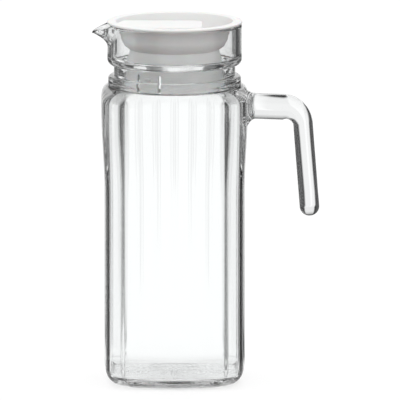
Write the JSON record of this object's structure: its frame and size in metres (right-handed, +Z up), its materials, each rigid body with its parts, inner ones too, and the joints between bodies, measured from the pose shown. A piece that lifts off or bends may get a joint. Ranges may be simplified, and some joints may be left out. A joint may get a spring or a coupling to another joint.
{
  "type": "glass jug with lid",
  "caption": "Square clear glass fridge jug with a round neck, pouring lip and hook handle, closed by a white push-in lid with a grip bar.",
  "frame": {"origin": "middle of the underside, on the plane that the jug stands on", "axes": "+Z up along the neck's axis, +X towards the handle, -X towards the pouring lip"},
  "size_m": [0.15, 0.0968, 0.24],
  "materials": {
    "clear_glass": "clear, fire-polished",
    "white_plastic": "smooth moulded, soft gloss"
  },
  "bodies": {
    "jug": {"glass_jug": "clear_glass"},
    "lid": {"lid": "white_plastic"}
  },
  "joints": [
    {"name": "lid_lift", "type": "slide", "parent": "jug", "child": "lid", "axis": [0, 0, 1], "range_m": [0, 0.07]}
  ]
}
